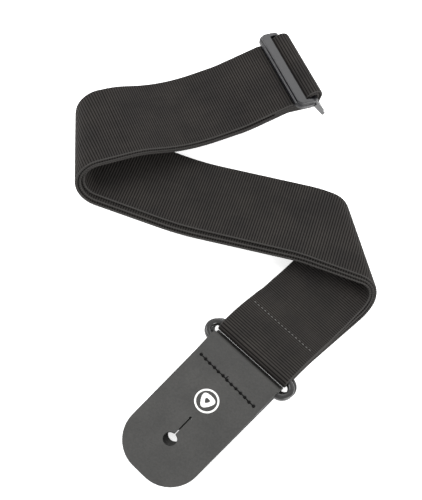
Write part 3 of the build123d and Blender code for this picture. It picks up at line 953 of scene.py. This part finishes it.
def leather_material():
    made, tree, shader = material("leather_grain", (0.048, 0.048, 0.046), 0.55, 0.28)
    coords = add(tree, "ShaderNodeTexCoord")
    where = coords.outputs["Object"]
    pores = add(tree, "ShaderNodeTexVoronoi", feature="DISTANCE_TO_EDGE")
    pores.inputs["Scale"].default_value = 1500.0
    tree.links.new(where, pores.inputs["Vector"])
    grain = noise(tree, where, 900.0, 4.0, 0.6)
    cloud = noise(tree, where, 60.0, 3.0)
    fine = noise(tree, where, 2600.0, 2.0)
    tone = add(tree, "ShaderNodeMix", data_type="RGBA", blend_type="MULTIPLY")
    tone.inputs[0].default_value = 1.0
    tree.links.new(ramp(tree, cloud, [(0.3, (0.038, 0.0377, 0.0362)),
                                      (0.7, (0.049, 0.0484, 0.0462))]), tone.inputs[6])
    tree.links.new(ramp(tree, grain, [(0.3, (0.84, 0.84, 0.84)), (0.7, (1.15, 1.15, 1.15))]),
                   tone.inputs[7])
    # cut edges are painted black and burnished
    edge = add(tree, "ShaderNodeAttribute", attribute_name="cut_edge")
    painted = add(tree, "ShaderNodeMix", data_type="RGBA")
    painted.inputs[7].default_value = (0.006, 0.006, 0.0065, 1)
    tree.links.new(edge.outputs["Fac"], painted.inputs[0])
    tree.links.new(tone.outputs[2], painted.inputs[6])
    tree.links.new(painted.outputs[2], shader.inputs["Base Color"])
    tree.links.new(ramp(tree, grain, [(0.2, (0.48, 0.48, 0.48)), (0.8, (0.64, 0.64, 0.64))]),
                   shader.inputs["Roughness"])
    bump(tree, shader, [(pores.outputs["Distance"], 0.00005, 0.35), (grain, 0.00012, 0.5),
                        (fine, 0.00003, 0.5)])
    return made


def plastic_material(name, color, roughness, grain_scale=1800.0):
    made, tree, shader = material(name, color, roughness, 0.5)
    coords = add(tree, "ShaderNodeTexCoord")
    where = coords.outputs["Object"]
    texture = noise(tree, where, grain_scale, 3.0)
    cloud = noise(tree, where, 120.0, 3.0)
    low = tuple(c * 0.88 for c in color)
    high = tuple(c * 1.12 for c in color)
    tree.links.new(ramp(tree, cloud, [(0.3, low), (0.7, high)]), shader.inputs["Base Color"])
    worn = (roughness - 0.06,) * 3, (roughness + 0.08,) * 3
    tree.links.new(ramp(tree, texture, [(0.3, worn[0]), (0.7, worn[1])]),
                   shader.inputs["Roughness"])
    shader.inputs["Coat Weight"].default_value = 0.3
    shader.inputs["Coat Roughness"].default_value = 0.16
    bump(tree, shader, [(texture, 0.00003, 0.4)])
    return made


def thread_material(name, color, roughness):
    made, tree, shader = material(name, color, roughness, 0.1)
    coords = add(tree, "ShaderNodeTexCoord")
    twist = add(tree, "ShaderNodeTexWave", wave_type="BANDS", bands_direction="DIAGONAL")
    twist.inputs["Scale"].default_value = 1100.0
    tree.links.new(coords.outputs["Object"], twist.inputs["Vector"])
    # painted shade and painted highlight: the thread is painted darker in the twist's grooves and
    # lighter on its ridges, along the same bands as its bump
    tree.links.new(ramp(tree, twist.outputs["Fac"], [(0.2, tuple(c * 0.6 for c in color)),
                                                      (0.8, tuple(c * 1.2 for c in color))]),
                   shader.inputs["Base Color"])
    bump(tree, shader, [(twist.outputs["Fac"], 0.00005, 0.5)])
    return made


def ink_material():
    made, tree, shader = material("printed_white", (0.8, 0.8, 0.78), 0.55, 0.3)
    coords = add(tree, "ShaderNodeTexCoord")
    worn = noise(tree, coords.outputs["Object"], 1400.0, 4.0)
    tree.links.new(ramp(tree, worn, [(0.25, (0.62, 0.62, 0.6)), (0.5, (0.84, 0.84, 0.82))]),
                   shader.inputs["Base Color"])
    return made


def paint(obj, made):
    obj.data.materials.clear()
    obj.data.materials.append(made)


paint(webbing, webbing_material())
leather = leather_material()
for tab in (leather_front, leather_rear):
    paint(tab, leather)
ring_plastic = plastic_material("ring_plastic", (0.006, 0.006, 0.0058), 0.3)
for ring in rings:
    paint(ring, ring_plastic)
paint(slider, plastic_material("slider_plastic", (0.0055, 0.0055, 0.0075), 0.34))
black_thread = thread_material("leather_thread", (0.003, 0.003, 0.003), 0.6)
grey_thread = thread_material("webbing_thread", (0.16, 0.158, 0.152), 0.7)
for seam in (seam_front, seam_rear):
    paint(seam, black_thread)
for seam in (front_seam, tail_seam):
    paint(seam, grey_thread)
paint(mark, ink_material())


# ---------------------------------------------------------------- stage, light and camera
def pale(name, value):
    made, tree, shader = material(name, (value, value, value), 0.9, 0.1)
    coords = add(tree, "ShaderNodeTexCoord")
    cloud = noise(tree, coords.outputs["Object"], 3.0, 2.0)
    tree.links.new(ramp(tree, cloud, [(0.0, (value * 0.995,) * 3), (1.0, (value,) * 3)]),
                   shader.inputs["Base Color"])
    return made


floor = mesh_object("studio_floor", [(-4, -4, -0.0004), (4, -4, -0.0004), (4, 4, -0.0004),
                                     (-4, 4, -0.0004)], [(0, 1, 2, 3)], smooth=False)
floor_white = pale("floor_white", 0.92)
floor_shader = floor_white.node_tree.nodes["Principled BSDF"]
floor_shader.inputs["Emission Color"].default_value = (1, 1, 1, 1)
floor_shader.inputs["Emission Strength"].default_value = 0.7
paint(floor, floor_white)


def softbox(name, where, target, size, power):
    data = bpy.data.lights.new(name, "AREA")
    data.shape, data.size, data.size_y, data.energy = "RECTANGLE", size[0], size[1], power
    lamp = bpy.data.objects.new(name, data)
    bpy.context.scene.collection.objects.link(lamp)
    lamp.location = where
    lamp.rotation_euler = (Vector(target) - Vector(where)).to_track_quat("-Z", "Y").to_euler()
    return lamp


softbox("light_left", (-0.9, 0.1, 1.1), (0, 0, 0), (1.0, 1.0), 12)
softbox("light_back", (0.3, 1.2, 1.1), (0, 0.05, 0), (1.4, 0.8), 6)
softbox("light_right", (1.1, -0.6, 0.5), (0, 0, 0), (0.8, 0.8), 12)

world = bpy.data.worlds.new("studio")
world.use_nodes = True
world.node_tree.nodes["Background"].inputs["Color"].default_value = (1, 1, 1, 1)
world.node_tree.nodes["Background"].inputs["Strength"].default_value = 0.9
bpy.context.scene.world = world
bpy.context.scene.view_settings.view_transform = "Standard"

CAMERA_DISTANCE, CAMERA_ELEVATION, CAMERA_ROLL = 599.8, 58.1, 18.8
WIDTH_PX, FOCAL_PX = 422.0, 1000.0
tilt, lean = math.radians(CAMERA_ELEVATION), math.radians(CAMERA_ROLL)
forward = Vector((0, math.cos(tilt), -math.sin(tilt)))
level_right = Vector((1, 0, 0))
level_up = level_right.cross(forward)
cam_right = level_right * math.cos(lean) + level_up * math.sin(lean)
cam_up = level_up * math.cos(lean) - level_right * math.sin(lean)
camera_data = bpy.data.cameras.new("camera")
camera_data.sensor_fit = "HORIZONTAL"
camera_data.sensor_width = 36.0
camera_data.lens = 36.0 * FOCAL_PX / WIDTH_PX
camera_data.clip_start = 0.01
camera = bpy.data.objects.new("camera", camera_data)
bpy.context.scene.collection.objects.link(camera)
turn = Matrix((cam_right, cam_up, -forward)).transposed().to_4x4()
place = Vector(to_row([0, 0, 0])) - forward * (CAMERA_DISTANCE * MM)
camera.matrix_world = Matrix.Translation(place) @ turn
bpy.context.scene.camera = camera
